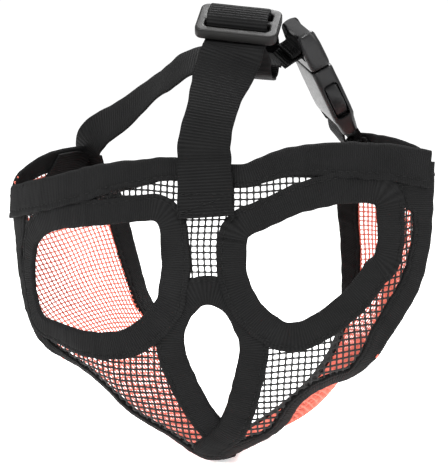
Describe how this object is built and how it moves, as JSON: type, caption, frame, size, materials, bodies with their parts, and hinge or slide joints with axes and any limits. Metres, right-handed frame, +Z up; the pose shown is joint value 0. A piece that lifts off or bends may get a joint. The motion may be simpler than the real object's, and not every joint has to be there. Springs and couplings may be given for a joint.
{
  "type": "short-snout mesh muzzle",
  "caption": "Soft full-face mesh muzzle for a short-nosed dog, with eye and nose openings, a forehead strap, a neck strap and a side-release buckle.",
  "frame": {"origin": "middle of the head opening at the back of the mask", "axes": "+Z up towards the forehead strap, -Y out through the nose opening, +X to the wearer's left, which is the viewer's right"},
  "size_m": [0.1835, 0.1, 0.1931],
  "materials": {
    "black_net": "square-cell polyester net",
    "coral_net": "fine coral polyester net",
    "binding_tape": "folded ribbed binding tape",
    "webbing": "ribbed black webbing",
    "stitching": "dense black stitching",
    "slider_plastic": "satin moulded grey",
    "buckle_plastic": "satin moulded charcoal"
  },
  "bodies": {
    "mask": {"face_net_panel": "black_net", "left_cheek_net": "coral_net", "right_cheek_net": "coral_net", "face_edge_binding": "binding_tape", "brow_binding": "binding_tape", "left_eye_binding": "binding_tape", "right_eye_binding": "binding_tape", "nose_binding": "binding_tape", "neck_rim_binding": "binding_tape", "chin_seam_tape": "binding_tape", "head_strap": "webbing", "neck_strap_sewn_end": "webbing", "socket_tab_sewn_end": "webbing", "forehead_box_stitch": "stitching", "left_anchor_tack": "stitching", "right_anchor_tack": "stitching"},
    "neck_yoke": {"neck_strap": "webbing", "head_strap_loop": "webbing", "buckle_socket": "buckle_plastic", "socket_tab": "webbing"},
    "slider": {"strap_slider": "slider_plastic", "sewn_end_tack": "stitching"},
    "plug": {"buckle_plug": "buckle_plastic", "neck_strap_tail": "webbing", "tail_tack": "stitching"},
    "front_arm": {"latch_arm_front": "buckle_plastic"},
    "back_arm": {"latch_arm_back": "buckle_plastic"}
  },
  "joints": [
    {"name": "neck_strap_swing", "type": "hinge", "parent": "mask", "child": "neck_yoke", "pos_m": [-0.012, -0.0165, 0.06725], "axis": [0.998, 0, 0.0629], "range_deg": [-8, 30], "deforming": ["head_strap", "neck_strap", "socket_tab"]},
    {"name": "slider_travel", "type": "slide", "parent": "neck_yoke", "child": "slider", "axis": [-0.0764, -0.82, -0.5672], "range_m": [0, 0.014], "deforming": ["head_strap", "head_strap_loop"]},
    {"name": "buckle_release", "type": "slide", "parent": "neck_yoke", "child": "plug", "axis": [-0.3655, -0.4163, 0.8325], "range_m": [0, 0.012], "deforming": ["latch_arm_front", "latch_arm_back", "neck_strap_tail"]},
    {"name": "front_latch_press", "type": "hinge", "parent": "plug", "child": "front_arm", "pos_m": [0.03696, -0.03964, 0.09884], "axis": [0.8443, 0.2283, 0.4848], "range_deg": [0, 6.5], "stiffness_Nm_per_rad": 0.15},
    {"name": "back_latch_press", "type": "hinge", "parent": "plug", "child": "back_arm", "pos_m": [0.03021, -0.0245, 0.10345], "axis": [-0.8443, -0.2283, -0.4848], "range_deg": [0, 6.5], "stiffness_Nm_per_rad": 0.15}
  ]
}
